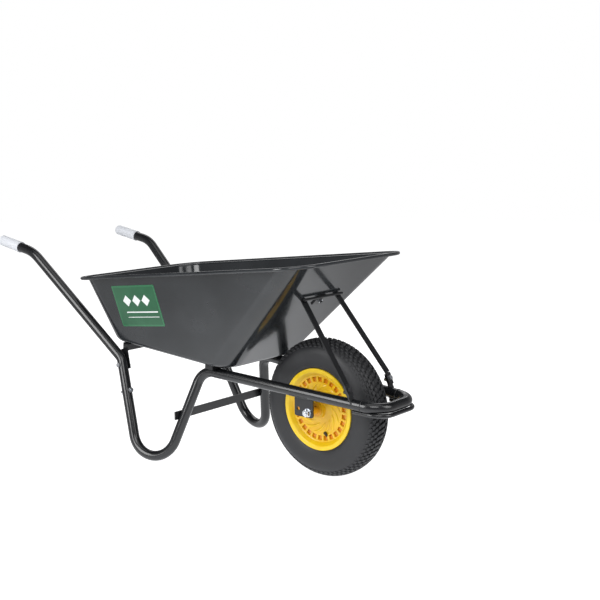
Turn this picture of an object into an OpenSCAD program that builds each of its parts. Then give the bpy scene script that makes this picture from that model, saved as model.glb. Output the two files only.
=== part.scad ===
// Builder's wheelbarrow: a pressed steel pan on a bent tube chassis, one pneumatic wheel, bolt-on handles.
// +X runs forward to the wheel, +Y to the barrow's left, +Z up; the ground is z = 0.
// Inside the modules x is counted from the axle, and place() centres the whole barrow on the origin.

/* [Tray] */
// Length of the pan over its rolled edge
tray_l = 921; // [760:1:1100]
// Width of the pan over its rolled edge
tray_w = 521; // [440:1:640]
// Height of the rolled edge at the back of the pan
rim_rear_z = 524; // [470:1:580]
// Height of the rolled edge at the front of the pan
rim_front_z = 630; // [580:1:700]
// How far the front edge of the pan reaches ahead of the axle
tray_ahead = 110; // [60:1:150]
// Length of the flat floor
floor_l = 477; // [380:1:560]
// How far behind the axle the floor's front edge is
floor_behind = 238; // [200:1:280]
// Height of the floor's front edge, under the sheet
floor_front_z = 296; // [280:1:310]
// Rise of the floor towards the back, per millimetre
floor_rise = 0.08; // [0.04:0.01:0.12]
// How far each side wall leans out, per millimetre of depth
side_draft = 0.245; // [0.15:0.005:0.3]
// Radius of the pan's upright corners
tray_corner_r = 70; // [50:1:90]
// Width of the flat edge around the mouth
flange_w = 18; // [12:1:26]
// Diameter of the rolled edge
bead_d = 10; // [8:0.5:14]
// Thickness of the pan's sheet
sheet_t = 1.2; // [0.8:0.1:3]
// Length of the side label
label_l = 187; // [120:1:220]
// Height of the side label
label_h = 130; // [80:1:140]
// Thickness of the side label
label_t = 0.4; // [0.2:0.1:1]
// How far the label's front edge is ahead of the pan's back edge
label_from_back = 350; // [300:1:420]
// Gap from the flat edge down to the label
label_drop = 29; // [5:1:40]

/* [Chassis tube] */
// Outer diameter of the chassis and handle tubes
tube_d = 30; // [28:0.5:36]
// Wall of those tubes
tube_t = 1.5; // [1.2:0.1:2.5]
// Radius of the foot bend
foot_r = 76; // [55:1:85]
// Radius of the bend from leg to rail
knee_r = 50; // [40:1:60]
// Radius of the bends at the nose
nose_r = 55; // [45:1:60]
// Half the spacing of the leg tops
leg_top_y = 214; // [200:1:235]
// Height of the leg tops, where the handles plug in
leg_top_z = 213; // [200:1:230]
// How far the leg tops are behind the axle
leg_top_back = 609; // [560:1:640]
// Half the spacing of the rails where they leave the knee
knee_y = 134; // [125:1:145]
// Height of the knee, where leg and rail centre lines cross
knee_z = 277; // [268:1:286]
// How far the knee is behind the axle
knee_back = 358; // [335:1:375]
// Half the spacing of the rails where they cross the nose
nose_y = 79; // [76:1:90]
// Height of the nose
nose_z = 243; // [235:1:250]
// How far the middle of the nose tube is ahead of the axle
nose_ahead = 240; // [225:1:265]
// Half the spacing of the feet's construction corner
foot_y = 270; // [250:1:285]
// How far the feet's construction corner is behind the axle
foot_back = 465; // [425:1:485]

/* [Handles] */
// How far the grip ends are behind the axle
grip_back = 1164; // [1050:1:1250]
// Height of the grip ends
grip_z = 618; // [560:1:680]
// Half the spacing of the grips
grip_y = 247; // [220:1:270]
// How far the upper bends are behind the axle
upper_bend_back = 1000; // [930:1:1060]
// Height of the upper bends
upper_bend_z = 590; // [550:1:640]
// Height of the lower bends
lower_bend_z = 284.5; // [278:0.5:300]
// Radius of the upper bends
upper_bend_r = 110; // [70:1:130]
// Radius of the lower bends
lower_bend_r = 45; // [40:1:60]
// Length of the reduced end inside the leg
plug_l = 50; // [35:1:65]
// Length of a grip
grip_l = 106; // [90:1:125]
// Outer diameter of a grip
grip_d = 36; // [34:0.5:42]
// Thickness of a grip's closed end
grip_end_t = 4; // [2:0.5:6]

/* [Wheel] */
// Outer diameter of the tyre
tyre_d = 396; // [370:1:410]
// Width of the tyre
tyre_w = 96; // [80:1:104]
// Outer diameter of the rim's flange
rim_d = 234; // [220:1:240]
// Width of the rim over its flanges
rim_w = 88; // [80:1:92]
// Wall of the moulded rim
rim_t = 5; // [4:0.5:6]
// Outer diameter of the rim's hub
hub_d = 46; // [42:1:56]
// Length of the hub
hub_l = 94; // [88:1:100]
// Diameter of the axle
axle_d = 12; // [10:0.5:14]
// Outer diameter of the bushes
bush_d = 30; // [26:0.5:34]
// Length of a bush inside the hub
bush_l = 30; // [20:1:38]
// Angle of the valve around the wheel, from straight ahead
valve_angle = -72; // [-180:1:180]

/* [Brackets and bars] */
// Half the gap between the axle plates
plate_in_y = 81; // [78:0.5:84]
// Thickness of the axle plates
plate_t = 5; // [4:0.5:5]
// Length of an axle plate along the barrow
plate_l = 65; // [58:1:75]
// How far an axle plate reaches behind the axle
plate_back = 47; // [42:1:50]
// How far an axle plate reaches below the axle
plate_below = 14; // [13:0.5:18]
// Width of the flat stays
stay_w = 20; // [16:1:30]
// Thickness of the flat stays
stay_t = 4; // [3:0.5:6]
// Height on the tray's front wall where the stays end
stay_top_z = 509; // [480:1:540]
// Half the spacing of the stays' upper ends
stay_top_y = 75; // [60:1:85]
// How far the bends near the stays' lower ends are ahead of the axle
stay_bend_ahead = 138; // [125:1:150]
// Half the spacing of those bends
stay_bend_y = 96; // [88:1:102]
// Height of those bends
stay_bend_z = 300; // [285:1:320]
// How far the stays' feet on the rails are ahead of the axle
stay_foot_ahead = 157; // [150:1:170]
// How far the stays' feet stand outside the rails' middle
stay_foot_out = 6; // [0:1:10]
// Diameter of the tie between the stays' upper ends
tie_d = 8; // [6:0.5:10]
// Diameter of the tipping bar under the nose
tip_d = 12; // [10:0.5:14]
// How far the tipping bar is ahead of the nose tube
tip_ahead = 13; // [6:1:20]
// How far the tipping bar's middle is below the nose tube's middle
tip_below = 17; // [12:1:34]
// Height of the flat brace between the legs
brace_h = 24; // [18:1:30]
// Thickness of that brace
brace_t = 5; // [4:0.5:6]
// Height of the brace's middle above the ground
brace_z = 143; // [130:1:160]
// How far the brace reaches past each leg tube
brace_over = 12; // [6:1:20]
// Height of the rear crossbar's upright web
crossbar_h = 28; // [22:1:34]
// Thickness of the crossbar and of its end lugs
crossbar_t = 4; // [3:0.5:5]
// Width of the crossbar's top flange and of the front tray support
support_w = 30; // [24:1:36]
// Diameter of the frame bolts
bolt_d = 8; // [6:0.5:9]
// Diameter of the tray bolts
tray_bolt_d = 6; // [5:0.5:7]
// Radial clearance of a bolt in its hole
bolt_gap = 0.3; // [0.2:0.05:0.5]
// Radial running clearance of the bushes on the axle
run_gap = 0.05; // [0.02:0.01:0.09]
// End play of the wheel on each side
end_gap = 0.4; // [0.3:0.1:1]

/* [Hidden] */
$fn = 48;

// the bends are drawn this much thinner, so that each one ends inside the straight beside it
bend_step = 0.05;
bend_lap = 1;
up_z = [0, 0, 1];
left_y = [0, 1, 0];
tube_r = tube_d / 2;
bore_r = tube_r - tube_t;
axle_z = tyre_d / 2;
axle_r = axle_d / 2;

// ---- vectors ----
function unit(v) = v / norm(v);
function mix(a, b, t) = a + (b - a) * t;
function mirrored(p) = [p[0], -p[1], p[2]];
// matrix that carries the x, y and z axes to a, b and c and the origin to p
function frame(a, b, c, p) = [
    [a[0], b[0], c[0], p[0]],
    [a[1], b[1], c[1], p[1]],
    [a[2], b[2], c[2], p[2]],
    [0, 0, 0, 1]
];

// ---- filleted centre lines ----
// half of the angle between the two legs of corner v
function half_angle(p, v, q) = acos(unit(p - v) * unit(q - v)) / 2;
// distance from corner v to where a bend of radius r starts
function tangent_l(p, v, q, r) = r / tan(half_angle(p, v, q));
function bend_centre(p, v, q, r) = v + unit(unit(p - v) + unit(q - v)) * r / sin(half_angle(p, v, q));
function bend_axis(p, v, q) = unit(cross(unit(q - v), unit(p - v)));
function leave(points, radii, i) = i == 0 ? points[0] :
    points[i] + unit(points[i + 1] - points[i])
        * tangent_l(points[i - 1], points[i], points[i + 1], radii[i]);
function arrive(points, radii, i) = i == len(points) - 1 ? points[i] :
    points[i] + unit(points[i - 1] - points[i])
        * tangent_l(points[i - 1], points[i], points[i + 1], radii[i]);

// straight rod of radius r from p to q
module rod(p, q, r) {
    d = q - p;
    translate(p)
        rotate([0, acos(d[2] / norm(d)), atan2(d[1], d[0])])
            cylinder(h = norm(d), r = r);
}

// bend of tube radius r and bend radius big_r around corner v
module bend(p, v, q, big_r, r) {
    c = bend_centre(p, v, q, big_r);
    start = unit(v + unit(p - v) * tangent_l(p, v, q, big_r) - c);
    axis = bend_axis(p, v, q);
    lap = bend_lap / big_r * 180 / PI;
    multmatrix(frame(start, cross(axis, start), axis, c))
        rotate([0, 0, -lap])
            rotate_extrude(angle = 180 - 2 * half_angle(p, v, q) + 2 * lap, $fn = 96)
                translate([big_r, 0])
                    circle(r = r - bend_step);
}

// solid rod along points, with radii[i] the bend radius at points[i]
module bent_rod(points, radii, r) {
    for (i = [0 : len(points) - 2])
        rod(leave(points, radii, i), arrive(points, radii, i + 1), r);
    for (i = [1 : len(points) - 2])
        bend(points[i - 1], points[i], points[i + 1], radii[i], r);
}

// the same rod carried past both ends by extra, for a bore that breaks through
function stretched(points, extra) = [
    for (i = [0 : len(points) - 1])
        i == 0 ? points[0] - unit(points[1] - points[0]) * extra :
        i == len(points) - 1 ? points[i] + unit(points[i] - points[i - 1]) * extra :
        points[i]
];

// ---- chassis centre lines, on the left side ----
leg_top = [-leg_top_back, leg_top_y, leg_top_z];
knee = [-knee_back, knee_y, knee_z];
nose = [nose_ahead, nose_y, nose_z];
// lowest point of the foot bend when its construction corner is at height z
function foot_corner(z) = [-foot_back, foot_y, z];
function foot_low(z) = bend_centre(leg_top, foot_corner(z), knee, foot_r)[2] - tube_r
    - foot_r * sqrt(1 - pow(bend_axis(leg_top, foot_corner(z), knee)[2], 2));
function foot_height(z, tries) = tries == 0 ? z : foot_height(z - foot_low(z), tries - 1);
foot = foot_corner(foot_height(-foot_r, 16));
leg_dir = unit(leg_top - foot);
// square to the leg, towards the front and towards the barrow's middle
leg_front = unit([1, 0, 0] - leg_dir * leg_dir[0]);
leg_in = cross(leg_front, leg_dir);
// point of the leg's line at height z
function leg_at(z) = leg_top + leg_dir * (z - leg_top_z) / leg_dir[2];
// point of the rail's centre line at distance x ahead of the axle
function rail_at(x) = mix(knee, nose, (x + knee_back) / (nose_ahead + knee_back));
// the side tubes and the nose tube meet a little ahead of the stays' feet
joint_ahead = stay_foot_ahead + 27;
rail_end = rail_at(joint_ahead);
side_points = [leg_top, foot, knee, rail_end];
side_radii = [0, foot_r, knee_r, 0];
nose_points = [rail_end, nose, mirrored(nose), mirrored(rail_end)];
nose_radii = [0, nose_r, nose_r, 0];

// ---- handle centre line ----
handle_low = leg_at(lower_bend_z);
handle_high = [-upper_bend_back, grip_y, upper_bend_z];
grip_end = [-grip_back, grip_y, grip_z];
handle_points = [leg_top, handle_low, handle_high, grip_end];
handle_radii = [0, lower_bend_r, upper_bend_r, 0];
plug_gap = 0.1;
plug_r = bore_r - plug_gap;
shoulder_t = 3;
grip_dir = unit(grip_end - handle_high);

// ---- tray ----
rim_tilt = atan2(rim_front_z - rim_rear_z, tray_l);
rim_mid = [tray_ahead - tray_l / 2, 0, (rim_rear_z + rim_front_z) / 2 - bead_d / 2];
rim_len = tray_l / cos(rim_tilt);
rim_u = [cos(rim_tilt), 0, sin(rim_tilt)];
edge_w = flange_w + bead_d / 2;
mouth_l = rim_len - 2 * edge_w;
mouth_w = tray_w - 2 * edge_w;
edge_r = tray_corner_r + flange_w;
floor_tilt = -atan(floor_rise);
floor_front = [-floor_behind, 0, floor_front_z];
floor_rear = [-floor_behind - floor_l, 0, floor_front_z + floor_l * floor_rise];
function rim_z(x) = rim_mid[2] + (x - rim_mid[0]) * tan(rim_tilt);
function floor_z(x) = floor_front_z - (x + floor_behind) * floor_rise;
// half width of the pan's outside at x and height z
function side_y(x, z) = mouth_w / 2 - side_draft * (rim_z(x) - z);
mouth_front = rim_mid + rim_u * mouth_l / 2;
wall_dir = unit(mouth_front - floor_front);
wall_out = unit(cross(left_y, wall_dir));
// point of the front wall's outside at height z and side y
function wall_at(y, z) = floor_front + wall_dir * (z - floor_front_z) / wall_dir[2] + [0, y, 0];

// ---- wheel ----
hub_r = hub_d / 2;
flange_r = rim_d / 2;
half_w = rim_w / 2;
bead_seat_r = flange_r - 12;
well_r = flange_r - 20;
web_y = half_w - 16;
flange_in = half_w - rim_t;
carcass_t = 7;
tread_t = 10;
tyre_r = tyre_d / 2;
belly_r = (tyre_r + flange_r) / 2 - 6;
tube_gap = 0.4;
bush_flange_t = 2;
bush_flange_r = bush_d / 2 + 4;
hub_face = hub_l / 2 + bush_flange_t;
plate_out_y = plate_in_y + plate_t;
washer_t = 1.6;
axle_nut_t = 10;
axle_nut_w = 19;
axle_end_y = plate_out_y + washer_t + axle_nut_t + 4;
valve_r = 4;
cap_r = 4.6;
cap_l = 13;

// ---- overall place: the grips are the back end, the tipping bar the front one ----
nose_tip = nose_ahead + max(tube_r, tip_ahead + tip_d / 2);
grip_tail = grip_end + grip_dir * grip_end_t;
back_end = grip_tail[0] + sqrt(1 - pow(grip_dir[0], 2)) * -grip_d / 2;
centre_x = (nose_tip + back_end) / 2;

module place() {
    translate([-centre_x, 0, 0]) children();
}
// children drawn for the left side (side = 1) or mirrored to the right (side = -1)
module on_side(side) {
    place() mirror([0, side < 0 ? 1 : 0, 0]) children();
}

// ---- fasteners: head or nut at the origin, shank along +Z ----
function head_w(d) = 1.625 * d;
function head_t(d) = 0.66 * d;
module hex(w, h) {
    cylinder(h = h, r = w / sqrt(3), $fn = 6);
}
// hex bolt whose head sits under z = 0
module hex_bolt(d, l) {
    color("silver") union() {
        translate([0, 0, -head_t(d)]) hex(head_w(d), head_t(d));
        cylinder(h = l, r = d / 2);
    }
}
// domed tray bolt whose head sits under z = 0
module cup_bolt(d, l) {
    color("dimgray") union() {
        cylinder(h = l, r = d / 2);
        intersection() {
            translate([0, 0, 1.2 * d]) sphere(r = 1.6 * d);
            translate([-1.2 * d, -1.2 * d, -0.4 * d]) cube([2.4 * d, 2.4 * d, 0.4 * d]);
        }
    }
}
// hex nut from z = 0 up, on a shank of diameter d
module hex_nut(d) {
    color("silver") difference() {
        hex(head_w(d), 0.8 * d);
        translate([0, 0, -1]) cylinder(h = 0.8 * d + 2, r = d / 2);
    }
}
// children carried so that +Z points along dir, from point p
module aim(p, dir) {
    side = abs(unit(dir) * left_y) > 0.9 ? [1, 0, 0] : left_y;
    b = unit(cross(dir, side));
    multmatrix(frame(unit(cross(b, dir)), b, unit(dir), p)) children();
}

// flat bar along dir from p, its width along wide and its thickness towards out
module flat(p, l, w, t, dir, wide, out) {
    multmatrix(frame(wide, out, dir, p)) translate([-w / 2, 0, 0]) cube([w, t, l]);
}

// ---- chassis ----
module side_body(r) {
    bent_rod(side_points, side_radii, r);
}
module side_bore() {
    bent_rod(stretched(side_points, 2), side_radii, bore_r);
}
bolt_hole_r = bolt_d / 2 + bolt_gap;
handle_bolt_at = leg_top - leg_dir * plug_l / 2;
module cross_hole(p, dir, r) {
    rod(p - dir * tube_d, p + dir * tube_d, r);
}
module side_tube(side) {
    on_side(side) color("#15181b") difference() {
        side_body(tube_r);
        side_bore();
        cross_hole(handle_bolt_at, leg_front, bolt_hole_r);
    }
}
module side_tube_left() side_tube(1);
module side_tube_right() side_tube(-1);

module nose_tube() {
    place() color("#15181b") difference() {
        bent_rod(nose_points, nose_radii, tube_r);
        bent_rod(stretched(nose_points, 2), nose_radii, bore_r);
    }
}

tip_lap = 1;
tip_gap = 0.1;
tip_corner = nose + [tip_ahead, tip_ahead / 2, -tip_below];
tip_root = rail_at(stay_foot_ahead) - up_z * (tube_r + tip_d / 2 - tip_lap);
module tipping_bar() {
    points = [tip_root, tip_corner, mirrored(tip_corner), mirrored(tip_root)];
    place() color("#15181b") difference() {
        bent_rod(points, [0, nose_r - 8, nose_r - 8, 0], tip_d / 2);
        for (side = [0, 1])
            mirror([0, side, 0]) {
                rod(rail_at(0), rail_end, tube_r);
                rod(rail_end, arrive(nose_points, nose_radii, 1), tube_r);
                bend(rail_end, nose, mirrored(nose), nose_r, tube_r + tip_gap);
            }
    }
}

// flat brace behind the front legs, notched around the tubes
brace_leg = mix(foot, knee, (brace_z - foot[2]) / (knee[2] - foot[2]));
module leg_brace() {
    half_l = brace_leg[1] + tube_r + brace_over;
    back = brace_leg[0] - tube_r;
    place() color("#15181b") difference() {
        translate([back - brace_t / 2, -half_l, brace_z - brace_h / 2])
            cube([brace_t, 2 * half_l, brace_h]);
        for (side = [0, 1])
            mirror([0, side, 0]) rod(foot, knee, tube_r);
    }
}

// children in the floor's own plane, with x along the floor from the point under x
module on_floor(x) {
    translate([x, 0, floor_z(x)]) rotate([0, -floor_tilt, 0]) children();
}
module hole_down(y, r) {
    translate([0, y, -2 * tube_d]) cylinder(h = 4 * tube_d, r = r);
}
tray_bolt_hole_r = tray_bolt_d / 2 + bolt_gap;

// flat bar on the rails, notched over them, with the pan's floor on its top
support_x = -knee_back + knee_r - 4;
support_bolt_y = 62;
support_end = knee_y + tube_r + 6;
support_h = floor_z(support_x) - rail_at(support_x)[2] - tube_r + 2;
module front_support() {
    place() color("#15181b") difference() {
        on_floor(support_x)
            translate([-support_w / 2, -support_end, -support_h])
                cube([support_w, 2 * support_end, support_h]);
        for (side = [0, 1])
            mirror([0, side, 0]) side_body(tube_r);
        on_floor(support_x) {
            hole_down(support_bolt_y, tray_bolt_hole_r);
            hole_down(-support_bolt_y, tray_bolt_hole_r);
        }
    }
}

// angle bar under the back of the floor, with a lug down the inner face of each handle
crossbar_bolt_at = handle_low
    - leg_dir * (tangent_l(leg_top, handle_low, handle_high, lower_bend_r) + bolt_d);
crossbar_level = floor_z(handle_low[0]) - crossbar_h / 2;
crossbar_x = leg_at(crossbar_level)[0];
crossbar_end = leg_at(crossbar_level)[1] + leg_in[1] * (tube_r + crossbar_t / 2);
crossbar_bolt_y = 120;
rear_bolt_x = crossbar_x + support_w / 2;
lug_w = 26;
lug_under = 13;
module rear_crossbar() {
    lug_l = norm(leg_at(crossbar_level) - crossbar_bolt_at) + lug_under;
    place() color("#15181b") difference() {
        union() {
            on_floor(crossbar_x) {
                translate([-crossbar_t, -crossbar_end, -crossbar_h])
                    cube([crossbar_t, 2 * crossbar_end, crossbar_h]);
                translate([-crossbar_t, -crossbar_end, -crossbar_t])
                    cube([support_w, 2 * crossbar_end, crossbar_t]);
            }
            for (side = [0, 1])
                mirror([0, side, 0])
                    flat(crossbar_bolt_at + leg_in * tube_r - leg_dir * lug_under, lug_l, lug_w, crossbar_t,
                        leg_dir, leg_front, leg_in);
        }
        for (side = [0, 1])
            mirror([0, side, 0]) cross_hole(crossbar_bolt_at, leg_in, bolt_hole_r);
        on_floor(rear_bolt_x) {
            hole_down(crossbar_bolt_y, tray_bolt_hole_r);
            hole_down(-crossbar_bolt_y, tray_bolt_hole_r);
        }
    }
}

// ---- axle and its plates ----
press_gap = 0.02;
spare_hole_back = 34;
spare_hole_up = 7;
spare_hole_r = 5.5;
plate_corner_r = 6;
// hole of radius r through a plate, at distances behind and above the axle
module plate_hole(back, up, r) {
    translate([-back, plate_out_y + plate_t, axle_z + up])
        rotate([90, 0, 0]) cylinder(h = 3 * plate_t, r = r);
}
module axle_plate(side) {
    front = plate_l - plate_back;
    low = axle_z - plate_below;
    high = rail_at(0)[2];
    r = plate_corner_r;
    on_side(side) color("#1b1e22") difference() {
        translate([0, plate_out_y, 0]) rotate([90, 0, 0]) linear_extrude(height = plate_t)
            union() {
                translate([-plate_back, low + r]) square([plate_l, high - low - r]);
                translate([-plate_back + r, low]) square([plate_l - 2 * r, r + 1]);
                translate([-plate_back + r, low + r]) circle(r = r);
                translate([front - r, low + r]) circle(r = r);
            }
        side_body(tube_r);
        plate_hole(0, 0, axle_r + press_gap);
        plate_hole(spare_hole_back, spare_hole_up, spare_hole_r);
    }
}
module axle_plate_left() axle_plate(1);
module axle_plate_right() axle_plate(-1);

// children with +Z pointing out along the axle, from distance y out
module along_axle(y) {
    translate([0, y, axle_z]) rotate([-90, 0, 0]) children();
}
module ring(r_in, r_out, h) {
    difference() {
        cylinder(h = h, r = r_out);
        translate([0, 0, -1]) cylinder(h = h + 2, r = r_in);
    }
}
module axle() {
    place() color("silver") along_axle(-axle_end_y) cylinder(h = 2 * axle_end_y, r = axle_r);
}
module axle_washer(side) {
    on_side(side) color("silver") along_axle(plate_out_y) ring(axle_r + 0.05, 12, washer_t);
}
module axle_washer_left() axle_washer(1);
module axle_washer_right() axle_washer(-1);
module axle_nut(side) {
    on_side(side) color("silver") along_axle(plate_out_y + washer_t) difference() {
        hex(axle_nut_w, axle_nut_t);
        translate([0, 0, -1]) cylinder(h = axle_nut_t + 2, r = axle_r);
    }
}
module axle_nut_left() axle_nut(1);
module axle_nut_right() axle_nut(-1);
module axle_spacer(side) {
    on_side(side) color("#2a2d30") along_axle(hub_face + end_gap)
        ring(axle_r + 0.05, axle_r + 4, plate_in_y - hub_face - end_gap);
}
module axle_spacer_left() axle_spacer(1);
module axle_spacer_right() axle_spacer(-1);

// ---- wheel ----
// moulded half rim: hub, dished web, well, bead seat and flange, as radius and distance from the middle plane
rim_profile = [
    [bush_d / 2, 0], [hub_r, 0], [hub_r, web_y - rim_t + 4], [well_r - rim_t, web_y - rim_t],
    [well_r - rim_t, 0], [well_r, 0], [well_r, web_y - 8], [bead_seat_r, web_y - 2],
    [bead_seat_r, flange_in], [flange_r, flange_in + 1], [flange_r, half_w],
    [bead_seat_r, half_w], [well_r - 2, web_y + 4], [hub_r + 16, web_y + 1],
    [hub_r, web_y + 6], [hub_r, hub_l / 2], [bush_d / 2, hub_l / 2]
];
// the valve leaves the well and comes out through the right-hand web
valve_root_r = well_r - rim_t / 2;
valve_root_y = web_y - 14;
valve_slope = 50;
valve_l = 22;
valve_inside = 18;
valve_gap = 0.5;
module at_valve() {
    along_axle(0) mirror([0, 0, 1]) rotate([0, 0, -valve_angle])
        translate([valve_root_r, 0, valve_root_y]) rotate([0, -valve_slope, 0]) children();
}
module rim_half(side) {
    difference() {
        on_side(side) color("#eeb31a") along_axle(0) rotate_extrude($fn = 120) polygon(rim_profile);
        if (side < 0)
            place() at_valve() {
                translate([0, 0, -valve_inside]) cylinder(h = valve_l + valve_inside, r = valve_r + valve_gap);
                translate([0, 0, valve_l - valve_gap]) cylinder(h = cap_l, r = cap_r + valve_gap);
            }
    }
}
module rim_half_left() rim_half(1);
module rim_half_right() rim_half(-1);

// tyre section: a squarish crown arc from the middle to the belly, then a quarter ellipse down to the bead
section_power = 2.3;
tyre_foot_out = 0.8;
function crown_arc(top, wide, base) = [
    for (t = [0 : 7.5 : 90])
        [base + (top - base) * pow(cos(t), 2 / section_power), wide * pow(sin(t), 2 / section_power)]
];
function sidewall_arc(wide, base, foot_rad, foot_y) = [
    for (t = [12 : 12 : 90])
        [base + (foot_rad - base) * sin(t), foot_y + (wide - foot_y) * cos(t)]
];
function flipped(list) = [for (i = [len(list) - 1 : -1 : 0]) [list[i][0], -list[i][1]]];
function after_first(list) = [for (i = [1 : len(list) - 1]) list[i]];
tyre_out = concat(
    crown_arc(tyre_r, tyre_w / 2, belly_r),
    sidewall_arc(tyre_w / 2, belly_r, flange_r, flange_in + tyre_foot_out),
    [[flange_r, flange_in + tyre_foot_out], [bead_seat_r, flange_in]]
);
tyre_in = concat(
    crown_arc(tyre_r - tread_t, tyre_w / 2 - carcass_t, belly_r),
    sidewall_arc(tyre_w / 2 - carcass_t, belly_r, flange_r, flange_in - carcass_t),
    [[bead_seat_r, flange_in - 10]]
);
module tyre() {
    outside = concat(flipped(tyre_out), after_first(tyre_out));
    inside = concat(flipped(tyre_in), after_first(tyre_in));
    place() color("#2b2c30") along_axle(0) rotate_extrude($fn = 120)
        polygon(concat(outside, [for (i = [len(inside) - 1 : -1 : 0]) inside[i]]));
}
tube_skin_t = 2;
function air_section(wall) = concat(
    crown_arc(tyre_r - tread_t - wall, tyre_w / 2 - carcass_t - wall, belly_r),
    sidewall_arc(tyre_w / 2 - carcass_t - wall, belly_r, bead_seat_r + 4 + wall, 20)
);
module inner_tube() {
    outside = air_section(tube_gap);
    inside = air_section(tube_gap + tube_skin_t);
    place() color("#202124") along_axle(0) rotate_extrude($fn = 120) difference() {
        polygon(concat(flipped(outside), after_first(outside)));
        polygon(concat(flipped(inside), after_first(inside)));
    }
}
module hub_bush(side) {
    on_side(side) color("#d8d8d4") along_axle(hub_l / 2) difference() {
        union() {
            translate([0, 0, -bush_l]) cylinder(h = bush_l, r = bush_d / 2);
            cylinder(h = bush_flange_t, r = bush_flange_r);
        }
        translate([0, 0, -bush_l - 1]) cylinder(h = bush_l + bush_flange_t + 2, r = axle_r + run_gap);
    }
}
module hub_bush_left() hub_bush(1);
module hub_bush_right() hub_bush(-1);
module valve_stem() {
    place() color("#202124") at_valve() translate([0, 0, -valve_inside])
        cylinder(h = valve_l + valve_inside, r = valve_r);
}
module valve_cap() {
    place() color("#101113") at_valve() translate([0, 0, valve_l]) cylinder(h = cap_l, r = cap_r);
}

// ---- tray ----
module on_rim() {
    translate(rim_mid) rotate([0, -rim_tilt, 0]) children();
}
module corner_discs(l, w, r, h) {
    for (sx = [-1, 1], sy = [-1, 1])
        translate([sx * (l / 2 - r), sy * (w / 2 - r), 0]) cylinder(h = h, r = r, $fn = 40);
}
// centres of the floor's corners, set in so that their arcs touch the side walls' planes
floor_corner_x = [floor_front[0] - tray_corner_r, floor_rear[0] + tray_corner_r];
floor_side_y = [for (x = floor_corner_x) side_y(x, floor_z(x))];
floor_taper = atan((floor_side_y[1] - floor_side_y[0]) / (floor_corner_x[0] - floor_corner_x[1]));
// solid of the pan's outside, drawn in by inset and its floor raised by rise
module pan_solid(inset, rise, over) {
    r = tray_corner_r - inset;
    hull() {
        on_rim() translate([0, 0, over]) corner_discs(mouth_l - 2 * inset, mouth_w - 2 * inset, r, 0.1);
        for (i = [0, 1], sy = [-1, 1])
            translate([floor_corner_x[i], sy * (floor_side_y[i] - tray_corner_r / cos(floor_taper)), 0])
                translate([0, 0, floor_z(floor_corner_x[i]) + rise])
                    rotate([0, -floor_tilt, 0]) cylinder(h = 0.1, r = r, $fn = 40);
    }
}
module flange_plate() {
    hull() on_rim() translate([0, 0, -sheet_t / 2])
        corner_discs(rim_len - bead_d, tray_w - bead_d, edge_r, sheet_t);
}
// rolled edge around the flange, in the rim's plane
bead_lap = 0.5;
module rolled_edge() {
    hx = (rim_len - bead_d) / 2 - edge_r;
    hy = (tray_w - bead_d) / 2 - edge_r;
    r = bead_d / 2;
    on_rim() for (sx = [-1, 1], sy = [-1, 1]) {
        start = sx > 0 ? min(sy, 0) * 90 : 135 - sy * 45;
        translate([sx * hx, sy * hy, 0])
            rotate([0, 0, start - bead_lap])
                rotate_extrude(angle = 90 + 2 * bead_lap, $fn = 96)
                    translate([edge_r, 0]) circle(r = r - bend_step, $fn = 24);
        if (sx > 0)
            translate([-hx, sy * (hy + edge_r), 0]) rotate([0, 90, 0]) cylinder(h = 2 * hx, r = r, $fn = 24);
        if (sy > 0)
            translate([sx * (hx + edge_r), -hy, 0]) rotate([-90, 0, 0]) cylinder(h = 2 * hy, r = r, $fn = 24);
    }
}
// the inside's foot is drawn in and raised by the sheet, and its mouth drawn in and raised by inside_over
inside_over = sheet_t / 2 + 0.2;
// bolt from the tray to the stays' tie
wall_bolt_z = stay_top_z - 4;
wall_bolt_at = wall_at(0, wall_bolt_z);
// gap between the bolt's head and its seat
seat_gap = 0.1;
// thickness of the front wall at its foot and at its mouth, and the depth of the bolt's seat in it
wall_foot_t = sheet_t * (wall_out[0] * cos(floor_tilt) + wall_out[2] * (sin(floor_tilt) - 1));
wall_mouth_t = (rim_u * sheet_t - [-rim_u[2], 0, rim_u[0]] * inside_over) * wall_out;
bolt_share = (wall_bolt_z - floor_front_z) / (mouth_front[2] - floor_front_z);
sheet_wall_t = mix(wall_foot_t, wall_mouth_t, bolt_share) + seat_gap;
module tray() {
    place() color("#4b5055") difference() {
        union() {
            pan_solid(0, 0, 0);
            flange_plate();
            rolled_edge();
        }
        pan_solid(sheet_t, sheet_t, inside_over);
        on_floor(support_x) {
            hole_down(support_bolt_y, tray_bolt_hole_r);
            hole_down(-support_bolt_y, tray_bolt_hole_r);
        }
        on_floor(rear_bolt_x) {
            hole_down(crossbar_bolt_y, tray_bolt_hole_r);
            hole_down(-crossbar_bolt_y, tray_bolt_hole_r);
        }
        cross_hole(wall_bolt_at, wall_out, bolt_hole_r);
    }
}
// label on the right side wall, square to the rim, with its back cut to the wall
label_v = unit([0, side_draft, 1] - rim_u * (rim_u * [0, side_draft, 1]));
label_corner_r = 4;
label_sink = 1;
module label_outline() {
    r = label_corner_r;
    translate([r, 0]) square([label_l - 2 * r, label_h]);
    translate([0, r]) square([label_l, label_h - 2 * r]);
    for (x = [r, label_l - r], y = [r, label_h - r])
        translate([x, y]) circle(r = r);
}
module label() {
    start = label_from_back / cos(rim_tilt) - rim_len / 2 - label_l;
    top = rim_mid + [0, mouth_w / 2, 0] - label_v * label_drop;
    on_side(-1) color("#0c7a44") difference() {
        multmatrix(frame(rim_u, label_v, cross(label_v, rim_u), top))
            translate([start, -label_h, -label_sink])
                linear_extrude(height = label_t + label_sink) label_outline();
        pan_solid(0, 0, 0);
    }
}

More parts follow.
